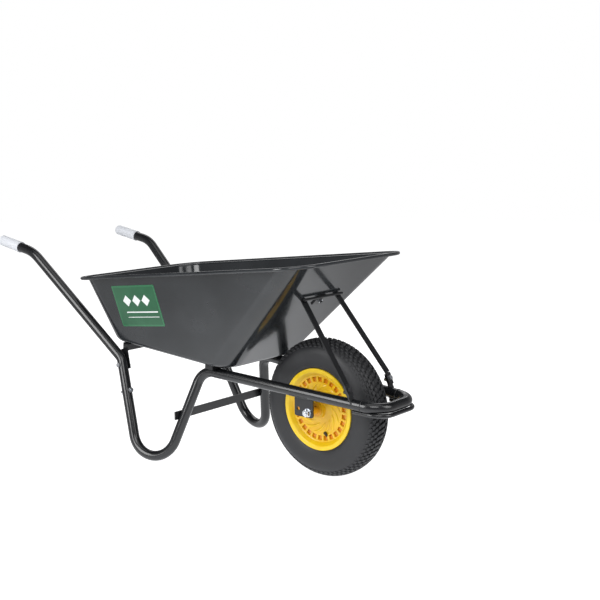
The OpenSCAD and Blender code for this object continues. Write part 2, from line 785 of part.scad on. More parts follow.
// ---- handles ----
module handle(side) {
    on_side(side) color("#15181b") difference() {
        union() {
            bent_rod(handle_points, handle_radii, tube_r);
            rod(leg_top - leg_dir * plug_l, leg_top + leg_dir, plug_r);
        }
        bent_rod([leg_top + leg_dir * shoulder_t, handle_low, handle_high, grip_end + grip_dir],
            handle_radii, bore_r);
        rod(leg_top - leg_dir * (plug_l + 1), leg_top + leg_dir * (shoulder_t + 1), plug_r - tube_t);
        cross_hole(handle_bolt_at, leg_front, bolt_hole_r);
        cross_hole(crossbar_bolt_at, leg_in, bolt_hole_r);
    }
}
module handle_left() handle(1);
module handle_right() handle(-1);

module grip(side) {
    base = grip_end - grip_dir * (grip_l - grip_end_t);
    on_side(side) color("#f2f2f0") difference() {
        rod(base, grip_tail, grip_d / 2);
        rod(base - grip_dir, grip_end, tube_r);
    }
}
module grip_left() grip(1);
module grip_right() grip(-1);

// bolts through the leg tops, with their heads at the back
module handle_bolt(side) {
    on_side(side) aim(handle_bolt_at - leg_front * tube_r, leg_front) hex_bolt(bolt_d, tube_d + bolt_d);
}
module handle_bolt_left() handle_bolt(1);
module handle_bolt_right() handle_bolt(-1);
module handle_nut(side) {
    on_side(side) aim(handle_bolt_at + leg_front * tube_r, leg_front) hex_nut(bolt_d);
}
module handle_nut_left() handle_nut(1);
module handle_nut_right() handle_nut(-1);

// bolts through the handles and the crossbar's lugs, with their heads outside
module crossbar_bolt(side) {
    on_side(side) aim(crossbar_bolt_at - leg_in * tube_r, leg_in)
        hex_bolt(bolt_d, tube_d + crossbar_t + bolt_d);
}
module crossbar_bolt_left() crossbar_bolt(1);
module crossbar_bolt_right() crossbar_bolt(-1);
module crossbar_nut(side) {
    on_side(side) aim(crossbar_bolt_at + leg_in * (tube_r + crossbar_t), leg_in) hex_nut(bolt_d);
}
module crossbar_nut_left() crossbar_nut(1);
module crossbar_nut_right() crossbar_nut(-1);

// ---- front stays ----
stay_top = wall_at(stay_top_y, stay_top_z);
stay_bend = [stay_bend_ahead, stay_bend_y, stay_bend_z];
stay_foot = rail_at(stay_foot_ahead) + [0, stay_foot_out, tube_r];
stay_dir = unit(stay_bend - stay_top);
foot_dir = unit(stay_foot - stay_bend);
// across a flat bar that runs along dir, and out of its front face
function across(dir) = unit(left_y - dir * (left_y * dir));
function front_of(dir) = cross(dir, across(dir));
stay_l = norm(stay_bend - stay_top);
stay_extra = 30;
foot_l = norm(stay_foot - stay_bend);
foot_gap = 8;
stay_bolt_at = stay_bend + foot_dir * (foot_l - foot_gap) / 2;
tab_t = stay_t;
// slab behind the tray's front wall
module behind_wall() {
    multmatrix(frame(left_y, wall_dir, wall_out * -1, floor_front))
        translate([-tray_w / 2, 0, 0]) cube([tray_w, tray_l, 2 * stay_extra]);
}
// the stay's upper length, carried into the tray's wall
module stay_bar() {
    flat(stay_top - stay_dir * stay_extra, stay_l + stay_extra, stay_w, stay_t, stay_dir, across(stay_dir),
        front_of(stay_dir));
}
module stay(side) {
    on_side(side) color("#15181b") difference() {
        union() {
            stay_bar();
            flat(stay_bend, foot_l - foot_gap, stay_w, stay_t,
                foot_dir, across(foot_dir), front_of(foot_dir));
        }
        behind_wall();
        cross_hole(stay_bolt_at, front_of(foot_dir), bolt_hole_r);
    }
}
module stay_left() stay(1);
module stay_right() stay(-1);
// tab welded on the rail behind each stay's foot
module stay_tab(side) {
    on_side(side) color("#15181b") difference() {
        flat(stay_bend + foot_dir * stay_t - front_of(foot_dir) * tab_t, foot_l + tube_r / 2, stay_w, tab_t,
            foot_dir, across(foot_dir), front_of(foot_dir));
        side_body(tube_r);
        cross_hole(stay_bolt_at, front_of(foot_dir), bolt_hole_r);
    }
}
module stay_tab_left() stay_tab(1);
module stay_tab_right() stay_tab(-1);
module stay_bolt(side) {
    out = front_of(foot_dir);
    on_side(side) aim(stay_bolt_at + out * stay_t, out * -1) hex_bolt(bolt_d, stay_t + tab_t + 1.4 * bolt_d);
}
module stay_bolt_left() stay_bolt(1);
module stay_bolt_right() stay_bolt(-1);
module stay_nut(side) {
    out = front_of(foot_dir);
    on_side(side) aim(stay_bolt_at - out * tab_t, out * -1) hex_nut(bolt_d);
}
module stay_nut_left() stay_nut(1);
module stay_nut_right() stay_nut(-1);

// round tie between the stays with a bolted lug in its middle
tie_lug_t = 4;
tie_lug_w = 30;
tie_lug_down = 22;
tie_lug_up = 18;
tie_lap = 1;
tie_up = 8;
module stay_tie() {
    p = wall_at(0, stay_top_z + tie_up) + wall_out * (tie_lug_t + tie_d / 2 - tie_lap);
    end_y = stay_top_y + stay_w / 2;
    place() color("#15181b") difference() {
        union() {
            rod(p - left_y * end_y, p + left_y * end_y, tie_d / 2);
            multmatrix(frame(left_y, wall_dir, wall_out * -1, wall_bolt_at))
                translate([-tie_lug_w / 2, -tie_lug_down, -tie_lug_t])
                    cube([tie_lug_w, tie_lug_down + tie_lug_up, tie_lug_t]);
        }
        cross_hole(wall_bolt_at, wall_out, bolt_hole_r);
        for (side = [0, 1])
            mirror([0, side, 0]) stay_bar();
    }
}
module wall_bolt() {
    place() aim(wall_bolt_at - wall_out * sheet_wall_t, wall_out)
        cup_bolt(bolt_d, sheet_wall_t + tie_lug_t + 1.4 * bolt_d);
}
module wall_nut() {
    place() aim(wall_bolt_at + wall_out * tie_lug_t, wall_out) hex_nut(bolt_d);
}

// ---- tray floor bolts: cup heads on the floor, nuts under the bars ----
module floor_bolt(x, y, grip_t) {
    place() on_floor(x) translate([0, y, sheet_t]) rotate([180, 0, 0])
        cup_bolt(tray_bolt_d, sheet_t + grip_t + tray_bolt_d + 3);
}
module floor_nut(x, y, grip_t) {
    place() on_floor(x) translate([0, y, -grip_t]) rotate([180, 0, 0]) hex_nut(tray_bolt_d);
}
module rear_tray_bolt_left() floor_bolt(rear_bolt_x, crossbar_bolt_y, crossbar_t);
module rear_tray_bolt_right() floor_bolt(rear_bolt_x, -crossbar_bolt_y, crossbar_t);
module rear_tray_nut_left() floor_nut(rear_bolt_x, crossbar_bolt_y, crossbar_t);
module rear_tray_nut_right() floor_nut(rear_bolt_x, -crossbar_bolt_y, crossbar_t);
module front_tray_bolt_left() floor_bolt(support_x, support_bolt_y, support_h);
module front_tray_bolt_right() floor_bolt(support_x, -support_bolt_y, support_h);
module front_tray_nut_left() floor_nut(support_x, support_bolt_y, support_h);
module front_tray_nut_right() floor_nut(support_x, -support_bolt_y, support_h);

tray();
label();
side_tube_left();
side_tube_right();
nose_tube();
tipping_bar();
leg_brace();
front_support();
rear_crossbar();
axle_plate_left();
axle_plate_right();
axle();
axle_nut_left();
axle_nut_right();
axle_washer_left();
axle_washer_right();
axle_spacer_left();
axle_spacer_right();
rim_half_left();
rim_half_right();
tyre();
inner_tube();
hub_bush_left();
hub_bush_right();
valve_stem();
valve_cap();
handle_left();
handle_right();
grip_left();
grip_right();
handle_bolt_left();
handle_bolt_right();
handle_nut_left();
handle_nut_right();
crossbar_bolt_left();
crossbar_bolt_right();
crossbar_nut_left();
crossbar_nut_right();
stay_left();
stay_right();
stay_tie();
stay_tab_left();
stay_tab_right();
stay_bolt_left();
stay_bolt_right();
stay_nut_left();
stay_nut_right();
wall_bolt();
wall_nut();
rear_tray_bolt_left();
rear_tray_bolt_right();
rear_tray_nut_left();
rear_tray_nut_right();
front_tray_bolt_left();
front_tray_bolt_right();
front_tray_nut_left();
front_tray_nut_right();
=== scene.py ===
import bpy
import numpy as np
from mathutils import Matrix, Vector


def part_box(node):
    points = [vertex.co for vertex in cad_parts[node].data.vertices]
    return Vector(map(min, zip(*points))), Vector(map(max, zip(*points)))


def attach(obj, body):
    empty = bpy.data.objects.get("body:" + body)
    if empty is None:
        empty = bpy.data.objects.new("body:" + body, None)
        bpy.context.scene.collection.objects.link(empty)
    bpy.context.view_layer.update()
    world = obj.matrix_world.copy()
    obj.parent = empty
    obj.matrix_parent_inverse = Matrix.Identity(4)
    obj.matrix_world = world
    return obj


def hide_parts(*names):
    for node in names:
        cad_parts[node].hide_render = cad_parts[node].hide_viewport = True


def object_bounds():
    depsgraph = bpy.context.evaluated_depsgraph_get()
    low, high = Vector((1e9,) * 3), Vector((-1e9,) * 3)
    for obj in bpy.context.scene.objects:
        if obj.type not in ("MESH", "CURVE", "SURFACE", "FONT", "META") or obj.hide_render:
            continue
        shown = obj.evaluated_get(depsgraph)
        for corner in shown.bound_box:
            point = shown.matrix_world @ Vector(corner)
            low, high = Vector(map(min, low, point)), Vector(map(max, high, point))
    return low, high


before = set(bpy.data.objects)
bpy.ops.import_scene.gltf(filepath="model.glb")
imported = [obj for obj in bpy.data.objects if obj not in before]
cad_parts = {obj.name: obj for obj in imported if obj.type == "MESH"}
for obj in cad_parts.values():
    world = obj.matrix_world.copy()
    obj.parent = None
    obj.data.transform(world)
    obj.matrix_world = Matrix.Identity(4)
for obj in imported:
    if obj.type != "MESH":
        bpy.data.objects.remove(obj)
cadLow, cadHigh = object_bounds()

print("frame loaded:", len(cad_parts), "CAD nodes")

# x is counted from the axle and z from the ground, as in the CAD source
axleLow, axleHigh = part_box("axle")
axle = np.array([(axleLow[0] + axleHigh[0]) / 2, 0.0, (axleLow[2] + axleHigh[2]) / 2])
origin = np.array([axle[0], 0.0, cadLow[2]])
right, left = -1, 1


# Numpy shapes are points, four-sided faces and many-sided caps


# A vector divided by its own length
def unit(v):
    v = np.asarray(v, float)
    return v / np.linalg.norm(v, axis=-1, keepdims=True)


# Smooth step: 0 below a, 1 above b, and 3t^2 - 2t^3 between, t = (x - a) / (b - a)
def smooth(x, a, b):
    t = np.clip((x - a) / (b - a), 0, 1)
    return t * t * (3 - 2 * t)


# Face (i, j) of a grid joins its points (i, j), (i+1, j), (i+1, j+1), (i, j+1).
# Rows or columns may close into a ring
def gridFaces(rows, cols, ringRows, ringCols):
    i = np.arange(rows if ringRows else rows - 1)[:, None]
    j = np.arange(cols if ringCols else cols - 1)[None, :]
    nextI, nextJ = (i + 1) % rows, (j + 1) % cols
    corners = (i * cols + j, nextI * cols + j, nextI * cols + nextJ, i * cols + nextJ)
    return np.stack(np.broadcast_arrays(*corners), -1).reshape(-1, 4)


# Closed solid from rings of points, rings[i, j]: the rows join into a torus,
# or the first and last ring get a flat cap
def solidOf(rings, torus=False):
    rows, cols = rings.shape[:2]
    quads = gridFaces(rows, cols, torus, True)
    caps = [] if torus else [np.arange(cols), (rows - 1) * cols + np.arange(cols)[::-1]]
    points = rings.reshape(-1, 3)
    return facingOut(points, quads, caps)


# Signed volume is a sixth of the sum of a . (b x c) over the triangles.
# Where it is negative the faces are turned round
def facingOut(points, quads, caps):
    tris = [quads[:, [0, 1, 2]], quads[:, [0, 2, 3]]]
    tris += [np.stack([np.full(len(c) - 2, c[0]), c[1:-1], c[2:]], -1) for c in caps]
    a, b, c = (points[np.concatenate(tris)[:, k]] for k in range(3))
    if np.einsum("ij,ij->i", a, np.cross(b, c)).sum() < 0:
        quads, caps = quads[:, ::-1], [k[::-1] for k in caps]
    return points, quads, caps


# Several shapes as one: the later ones' face numbers are shifted by the points before them
def joined(shapes):
    points, quads, caps, start = [], [], [], 0
    for p, q, c in shapes:
        points.append(p)
        quads.append(q + start)
        caps += [k + start for k in c]
        start += len(p)
    return np.concatenate(points), np.concatenate(quads), caps


# A shape and its mirror image in the plane y = 0, whose faces are turned round
def bothSides(shape):
    p, q, c = shape
    return joined([shape, (p * [1, -1, 1], q[:, ::-1], [k[::-1] for k in c])])


# The mirror image alone
def mirrored(shape):
    p, q, c = shape
    return p * [1, -1, 1], q[:, ::-1], [k[::-1] for k in c]


# Circle profile carried along a path. Each ring lies square to it at centre + r (cos t * side + sin t * up),
# and side is kept from turning by projecting the last ring's side onto the new plane
def tubeAlong(path, radius, around=32, startSide=(0, 1, 0)):
    path = np.asarray(path, float)
    ahead = unit(np.gradient(path, axis=0))
    sides, side = [], np.asarray(startSide, float)
    for d in ahead:
        side = unit(side - d * (side @ d))
        sides.append(side)
    sides = np.array(sides)
    ups = np.cross(ahead, sides)
    t = np.linspace(0, 2 * np.pi, around, endpoint=False)[None, :, None]
    radius = np.broadcast_to(radius, len(path))[:, None, None]
    return path[:, None] + radius * (np.cos(t) * sides[:, None] + np.sin(t) * ups[:, None])


# Path with extra points, so that no step is longer than the given one
def finer(path, step):
    length = np.concatenate([[0], np.cumsum(np.linalg.norm(np.diff(path, axis=0), axis=1))])
    s = np.linspace(0, length[-1], int(length[-1] / step) + 2)
    return np.stack([np.interp(s, length, path[:, k]) for k in range(3)], -1)


# Revolved profile: point (r, y) of the profile goes to (r cos a, y, r sin a) around the axle
def revolved(r, y, a):
    return np.stack(np.broadcast_arrays(r * np.cos(a), y, r * np.sin(a)), -1)


def addPiece(name, shape, paint, body, replaces=(), sharpAbove=35, layers=None, uv=None):
    points, quads, caps = shape
    mesh = bpy.data.meshes.new(name)
    mesh.from_pydata(points.tolist(), [], quads.tolist() + [c.tolist() for c in caps])
    mesh.polygons.foreach_set("use_smooth", np.ones(len(mesh.polygons), bool))
    mesh.set_sharp_from_angle(angle=np.radians(sharpAbove))
    for key, values in (layers or {}).items():
        layer = mesh.attributes.new(key, "FLOAT", "POINT")
        layer.data.foreach_set("value", np.asarray(values, np.float32).ravel())
    if uv is not None:
        corner = np.zeros(len(mesh.loops), np.int32)
        mesh.loops.foreach_get("vertex_index", corner)
        spots = uv.reshape(-1, 2)[corner].astype(np.float32)
        mesh.uv_layers.new(name="UVMap").data.foreach_set("uv", spots.ravel())
    mesh.validate()
    mesh.update()
    piece = bpy.data.objects.new(name, mesh)
    bpy.context.scene.collection.objects.link(piece)
    mesh.materials.append(paint.material)
    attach(piece, body)
    if replaces:
        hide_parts(*replaces)
    return piece


# A value in a material's node tree; sums, products and comparisons of it add Math nodes
class Wire:
    def __init__(self, paint, socket):
        self.paint, self.socket = paint, socket

    def maths(self, operation, *values):
        return self.paint.add("ShaderNodeMath", {"operation": operation}, dict(enumerate(values)))

    def __add__(self, other):
        return self.maths("ADD", self, other)

    def __sub__(self, other):
        return self.maths("SUBTRACT", self, other)

    def __rsub__(self, other):
        return self.maths("SUBTRACT", other, self)

    def __mul__(self, other):
        return self.maths("MULTIPLY", self, other)

    def __gt__(self, other):
        return self.maths("GREATER_THAN", self, other)

    def __lt__(self, other):
        return self.maths("LESS_THAN", self, other)

    def __abs__(self):
        return self.maths("ABSOLUTE", self)

    def lowest(self, other):
        return self.maths("MINIMUM", self, other)

    __radd__, __rmul__ = __add__, __mul__

    # 0 below low, 1 above high, smooth between
    def between(self, low, high):
        return self.paint.add("ShaderNodeMapRange", {"interpolation_type": "SMOOTHSTEP"},
                              {"Value": self, "From Min": low, "From Max": high})


# A material's node tree, or the world's; the constants are set on its shader
class Paint:
    def __init__(self, name, owner=None, shader="Principled BSDF", **constants):
        self.material = owner or bpy.data.materials.new(name)
        self.material.use_nodes = True
        self.tree = self.material.node_tree
        self.shader = self.tree.nodes[shader]
        for key, value in constants.items():
            self.shader.inputs[key.replace("_", " ")].default_value = value

    # Any node: its settings are set first (stops fill a colour ramp), then the values or links of its sockets
    def add(self, kind, settings=None, sockets=None, out=0):
        node = self.tree.nodes.new(kind)
        for key, value in (settings or {}).items():
            if key == "stops":
                ramp = node.color_ramp.elements
                while len(ramp) < len(value):
                    ramp.new(0.5)
                for stop, (place, colour) in zip(ramp, value):
                    stop.position, stop.color = place, colour
            else:
                setattr(node, key, value)
        for key, value in (sockets or {}).items():
            self.feed(node.inputs[key], value)
        return Wire(self, node.outputs[out])

    def feed(self, socket, value):
        if isinstance(value, Wire):
            self.tree.links.new(value.socket, socket)
        else:
            socket.default_value = value

    def drive(self, **wires):
        for key, wire in wires.items():
            self.feed(self.shader.inputs[key.replace("_", " ")], wire)

    def place(self):
        return self.add("ShaderNodeTexCoord", out="Object")

    def axes(self, vector):
        node = self.add("ShaderNodeSeparateXYZ", {}, {0: vector}).socket.node
        return [Wire(self, node.outputs[k]) for k in range(3)]

    def noise(self, vector, scale, detail=3, roughness=0.55):
        return self.add("ShaderNodeTexNoise", {},
                        {"Vector": vector, "Scale": scale, "Detail": detail, "Roughness": roughness})

    def mix(self, share, a, b):
        return self.add("ShaderNodeMix", {"data_type": "RGBA"}, {0: share, 6: a, 7: b}, out=2)

    def bump(self, height, strength, distance):
        return self.add("ShaderNodeBump", {}, {"Height": height, "Strength": strength, "Distance": distance})

    def layer(self, name):
        return self.add("ShaderNodeAttribute", {"attribute_name": name}, out="Fac")


# Plain finish: two near colours mixed by a slow noise, roughness that wanders, and a fine bump
def finish(name, dark, light, rough, spread, metal=0.0, coat=0.0, coatRough=0.05, patch=9.0, grain=900.0,
           bump=0.05, depth=0.0003):
    paint = Paint(name, Metallic=metal, Coat_Weight=coat, Coat_Roughness=coatRough)
    place = paint.place()
    slow, fine = paint.noise(place, patch), paint.noise(place, grain, 2)
    paint.drive(
        Base_Color=paint.mix(slow.between(0.3, 0.7), (*dark, 1), (*light, 1)),
        Roughness=(slow - 0.5) * spread + (fine - 0.5) * spread * 0.5 + rough,
        Normal=paint.bump(fine, bump, depth),
    )
    return paint


trayPaint = finish("trayPaint", (0.012, 0.014, 0.016), (0.026, 0.029, 0.032), 0.17, 0.05,
                   coat=0.25, patch=5, grain=260, bump=0.01)
framePaint = finish("framePaint", (0.0065, 0.007, 0.008), (0.009, 0.0095, 0.011), 0.24, 0.07,
                    coat=0.3, grain=420, bump=0.012)
bracketPaint = finish("bracketPaint", (0.0075, 0.008, 0.009), (0.011, 0.0115, 0.013), 0.3, 0.1,
                      coat=0.2, grain=420, bump=0.02)
weldPaint = finish("weldPaint", (0.008, 0.0085, 0.0095), (0.016, 0.0165, 0.018), 0.32, 0.12,
                   coat=0.2, grain=700, bump=0.2)
tubeRubber = finish("tubeRubber", (0.012, 0.012, 0.012), (0.02, 0.02, 0.021), 0.6, 0.1)
capPlastic = finish("capPlastic", (0.012, 0.012, 0.013), (0.02, 0.02, 0.021), 0.45, 0.1)
bushPlastic = finish("bushPlastic", (0.78, 0.36, 0.006), (0.84, 0.42, 0.01), 0.38, 0.08)
gripPlastic = finish("gripPlastic", (0.66, 0.68, 0.72), (0.72, 0.74, 0.78), 0.38, 0.08, grain=1500, bump=0.08)
darkBolt = finish("darkBolt", (0.05, 0.05, 0.055), (0.09, 0.09, 0.095), 0.34, 0.12, metal=0.85, patch=60)
zinc = finish("zinc", (0.60, 0.63, 0.68), (0.80, 0.82, 0.84), 0.26, 0.14,
              metal=1.0, patch=130, grain=2200, bump=0.08)


# Rubber: near-black with a dusty cast in a slow noise, and a fine moulded grain
def makeRubber():
    paint = Paint("tyreRubber")
    place = paint.place()
    cloud, grain = paint.noise(place, 14, 4), paint.noise(place, 1400, 2)
    dust = cloud.between(0.45, 0.72) * 0.6
    paint.drive(
        Base_Color=paint.mix(dust, (0.015, 0.0155, 0.0175, 1), (0.026, 0.0265, 0.029, 1)),
        Roughness=dust * 0.12 + (grain - 0.5) * 0.1 + 0.5,
        Normal=paint.bump(grain, 0.12, 0.0003),
    )
    return paint


# Moulded yellow: two near yellows mixed by flow marks, turned orange by the share that the point layer gives, which
# is painted shade in the rim's pockets and dish
def makeYellow():
    paint = Paint("rimPlastic", Coat_Weight=0.15, Coat_Roughness=0.2)
    place = paint.place()
    relief = paint.layer("relief")
    flow, grain = paint.noise(place, 42, 5, 0.65), paint.noise(place, 1100, 2)
    body = paint.mix(flow.between(0.38, 0.66), (0.80, 0.52, 0.006, 1), (0.86, 0.60, 0.010, 1))
    paint.drive(
        # Orange where the point layer is high: painted shade in the pockets and the dish
        Base_Color=paint.mix(relief, body, (0.66, 0.24, 0.003, 1)),
        Roughness=flow * 0.16 + 0.26,
        Normal=paint.bump(grain + flow * 2, 0.06, 0.0004),
    )
    return paint


tyreRubber, rimPlastic = makeRubber(), makeYellow()
print("finishes made")


# Sizes below are in millimetres, x from the axle and z from the ground. This puts them in place, in metres
def at(points):
    return origin + np.asarray(points) * 0.001


# Directions ahead and up, (cos a, 0, sin a) and (-sin a, 0, cos a)
def turned(degrees):
    a = np.radians(degrees)
    return np.array([np.cos(a), 0, np.sin(a)]), np.array([-np.sin(a), 0, np.cos(a)])


sideways = np.array([0.0, 1.0, 0.0])

pan = {
    "rimMiddle": (-350.5, 0, 572), "rimTilt": 6.565, "mouth": (881.08, 475), "corner": 70,
    "floorFront": -238, "floorLength": 477, "floorHeight": 296, "floorRise": 0.08, "draft": 0.245,
    "flange": 18, "bead": 5, "sheet": 1.2, "floorBend": 17, "mouthBend": 5, "arcSteps": 22, "sideSteps": 18,
}
rimMiddle = np.array(pan["rimMiddle"], float)
rimAhead, rimUp = turned(pan["rimTilt"])
floorAhead, floorUp = turned(-np.degrees(np.arctan(pan["floorRise"])))


# Height of the pan's floor: it falls evenly towards the wheel
def floorHeight(x):
    return pan["floorHeight"] - (x - pan["floorFront"]) * pan["floorRise"]


# Half the pan's width: that of the mouth, less the draft for each millimetre below the rim's plane
def wallSide(x, z):
    rimZ = rimMiddle[2] + (x - rimMiddle[0]) * rimAhead[2] / rimAhead[0]
    return pan["mouth"][1] / 2 - pan["draft"] * (rimZ - z)


# Rounded outline: each corner is an arc, centre + r (cos a * ahead + sin a * sideways),
# and the straights between have even steps
def roundedOutline(centres, turns, r, ahead):
    points, outward = [], []
    for k, (centre, (a, b)) in enumerate(zip(centres, turns)):
        angle = np.radians(np.linspace(a, b, pan["arcSteps"]))[:, None]
        out = np.cos(angle) * ahead + np.sin(angle) * sideways
        start, end = centre + r * out[-1], centres[(k + 1) % 4] + r * out[-1]
        share = np.linspace(0, 1, pan["sideSteps"] + 1)[1:-1, None]
        points += [centre + r * out, start + share * (end - start)]
        outward += [out, np.repeat(out[-1:], len(share), 0)]
    return np.concatenate(points), np.concatenate(outward)


# Quadratic curve from a to c pulled towards b: (1-t)^2 a + 2t(1-t) b + t^2 c
def bendRows(a, b, c, steps):
    t = np.linspace(0, 1, steps)[:, None, None]
    return (1 - t) ** 2 * a + 2 * t * (1 - t) * b + t * t * c


# Sheet profile carried round the pan: floor, bend, straight wall from the floor's outline to the mouth's, bend,
# flat edge, a circle for the rolled bead, and the same rows again one sheet thickness inside
def panShape():
    r, (length, width) = pan["corner"], pan["mouth"]
    fx = np.array([pan["floorFront"] - r, pan["floorFront"] - pan["floorLength"] + r])
    fy = wallSide(fx, floorHeight(fx))
    taper = np.degrees(np.arctan((fy[1] - fy[0]) / (fx[0] - fx[1])))
    fy = fy - r / np.cos(np.radians(taper))
    floorCentres = [np.array([fx[k], s * fy[k], floorHeight(fx[k])])
                    for k, s in ((0, 1), (1, 1), (1, -1), (0, -1))]
    mouthCentres = [rimMiddle + sx * rimAhead * (length / 2 - r) + sy * sideways * (width / 2 - r)
                    for sx, sy in ((1, 1), (-1, 1), (-1, -1), (1, -1))]
    floorTurns = ((0, 90 - taper), (90 - taper, 180), (180, 270 + taper), (270 + taper, 360))
    low, lowOut = roundedOutline(floorCentres, floorTurns, r, floorAhead)
    high, highOut = roundedOutline(mouthCentres, ((0, 90), (90, 180), (180, 270), (270, 360)), r, rimAhead)
    wall = unit(high - low)
    deep = np.linalg.norm(high - low, axis=-1, keepdims=True)
    bend, lip, half = pan["floorBend"], pan["mouthBend"], pan["sheet"] / 2
    shares = np.array([0.01, 0.1, 0.25, 0.4, 0.55, 0.7, 0.85, 0.96, 0.99])[:, None, None]
    edge = high - wall * half / (wall @ rimUp)[:, None]
    inRoll = np.sqrt(pan["bead"] ** 2 - half ** 2)
    beadMiddle = high + highOut * pan["flange"]
    beadStart = beadMiddle - highOut * inRoll - rimUp * half
    flat = edge + highOut * lip
    outer = np.concatenate([
        np.stack([low - lowOut * (bend + 30), low - lowOut * (bend + 2)]),
        bendRows(low - lowOut * bend, low, low + wall * bend, 8),
        low + wall * (bend + shares * (deep - bend - lip)),
        bendRows(edge - wall * lip, edge, flat, 6),
        flat + np.array([0.1, 0.9, 1])[:, None, None] * (beadStart - flat),
    ])
    across = np.roll(outer, -1, 1) - np.roll(outer, 1, 1)
    up = unit(np.cross(np.gradient(outer, axis=0), across))
    inner = outer + up * np.sign(up[0, 0] @ floorUp) * pan["sheet"]
    start = 180 - np.degrees(np.arcsin(half / pan["bead"]))
    b = np.radians(np.linspace(-start, start, 22)[1:-1])[:, None, None]
    roll = beadMiddle + pan["bead"] * (np.cos(b) * highOut + np.sin(b) * rimUp)
    return solidOf(at(np.concatenate([outer, roll, inner[::-1]])))


addPiece("pan", panShape(), trayPaint, "frame", ["tray"])

# Film on the right wall, with plain shapes on it
sticker = {
    "length": 187, "height": 130, "fromBack": 350, "drop": 29, "corner": 4, "film": 0.4, "edge": 0.25,
    "diamonds": (0.28, 0.5, 0.72), "diamond": (0.63, 0.095), "inside": (0.03, 0.97, 0.04, 0.96),
    "bars": ((0.2, 0.93, 0.335, 0.365), (0.2, 0.93, 0.22, 0.235)),
}


# Green film with a paler border and white marks: |across| + 0.7 |up| below a size is a diamond
def labelPaint():
    paint = Paint("labelFilm", Coat_Weight=0.3, Coat_Roughness=0.12)
    spot = paint.add("ShaderNodeUVMap", {"uv_map": "UVMap"})
    u, v, _ = paint.axes(spot)
    speckle, slow = paint.noise(paint.place(), 700, 2), paint.noise(paint.place(), 12)

    # 1 inside the box between the given edges
    def box(x, y, x0, x1, y0, y1):
        return (x > x0) * (x < x1) * (y > y0) * (y < y1)

    def diamond(x, y, middleX, middleY, size):
        return abs(x - middleX) + abs(y - middleY) * 0.7 < size

    first, second, third = (diamond(u, v, across, *sticker["diamond"]) for across in sticker["diamonds"])
    upper, lower = (box(u, v, *edges) for edges in sticker["bars"])
    marks, lines = first + second + third, upper + lower
    border = box(u, v, *sticker["inside"])
    green = paint.mix(slow.between(0.3, 0.7), (0.008, 0.088, 0.034, 1), (0.013, 0.115, 0.046, 1))
    green = paint.mix(border, (0.02, 0.15, 0.06, 1), green)
    white = paint.mix(speckle.between(0.2, 0.8), (0.72, 0.75, 0.74, 1), (0.85, 0.87, 0.86, 1))
    paint.drive(
        Base_Color=paint.mix((marks + lines).lowest(1), green, white),
        Roughness=speckle * 0.08 + 0.26,
        Normal=paint.bump(speckle + marks * 0.6, 0.05, 0.0003),
    )
    return paint


# Rounded rectangle in the wall's plane, its three rings being back, front edge and front inset
def labelShape():
    across = unit(np.array([0, pan["draft"], 1]) - rimAhead * (rimAhead @ [0, pan["draft"], 1]))
    out = np.cross(across, rimAhead)
    rimLength = pan["mouth"][0] + 2 * (pan["flange"] + pan["bead"])
    left0 = sticker["fromBack"] / rimAhead[0] - rimLength / 2 - sticker["length"]
    top = rimMiddle + sideways * pan["mouth"][1] / 2 - across * sticker["drop"]
    a = np.radians(np.arange(0, 360, 10) + 5)
    sx, sy = np.sign(np.cos(a)), np.sign(np.sin(a))
    rings, places = [], []
    for inset, lift in ((0, 0.02), (0, sticker["film"]), (sticker["edge"], sticker["film"] + 0.1)):
        r = sticker["corner"] - inset
        x = sticker["length"] / 2 + sx * (sticker["length"] / 2 - sticker["corner"]) + r * np.cos(a)
        y = -sticker["height"] / 2 + sy * (sticker["height"] / 2 - sticker["corner"]) + r * np.sin(a)
        rings.append(top + (left0 + x)[:, None] * rimAhead + y[:, None] * across + lift * out)
        places.append(np.stack([x / sticker["length"], 1 + y / sticker["height"]], -1))
    return mirrored(solidOf(at(np.array(rings)))), np.array(places)


shape, places = labelShape()
addPiece("sideLabel", shape, labelPaint(), "frame", ["label"], uv=places)
print("pan and label made")

tyre = {
    "radius": 198, "halfWidth": 48, "belly": 151.5, "power": 2.3, "rim": 117, "rimSide": 39.8, "seat": 105,
    "crownDip": 5.5, "pitches": 70, "around": 210,
    "rings": ((124.5, 1.0, 0.5), (129.5, 0.8, 0.4), (158, 1.6, 0.45)),  # radius, width, height
    "blockRows": (  # section angle, half its width, filled share of the pitch, shift in pitches
        (0.0, 6.0, 0.62, 0.0), (13.5, 5.4, 0.62, 0.5), (26.5, 5.2, 0.62, 0.0), (38.5, 4.8, 0.62, 0.5),
        (50.5, 5.0, 0.56, 0.0),
    ),
    "blockSink": 3.0, "blockShoulder": 1.0, "blockSizes": (1.12, 1.0, 0.82), "blockSkew": 0.1, "sideShift": 0.25,
    "treadInset": 1.6, "treadGrow": 1.5,
    "lining": ((105, 29), (118, 31), (140, 37), (165, 37), (180, 28), (184, 14)),  # radius, side
}


# Crown: radius belly + (top - belly) cos(t)^(2/p), side halfWidth sin(t)^(2/p), with t the angle from the middle
def crown(t, top, halfWidth=None):
    halfWidth = halfWidth or tyre["halfWidth"]
    c, s, e = np.cos(t), np.sin(np.abs(t)), 2 / tyre["power"]
    return tyre["belly"] + (top - tyre["belly"]) * c ** e, np.sign(t) * halfWidth * s ** e


# Sidewall: quarter ellipse from the belly down to the rim's edge, with low rings on it
def sidewall(t):
    r = tyre["belly"] + (tyre["rim"] - tyre["belly"]) * np.sin(t)
    y = tyre["rimSide"] + (tyre["halfWidth"] - tyre["rimSide"]) * np.cos(t)
    for ringRadius, width, height in tyre["rings"]:
        y = y + height * np.exp(-((r - ringRadius) / width) ** 2)
    return r, np.minimum(y, tyre["halfWidth"])


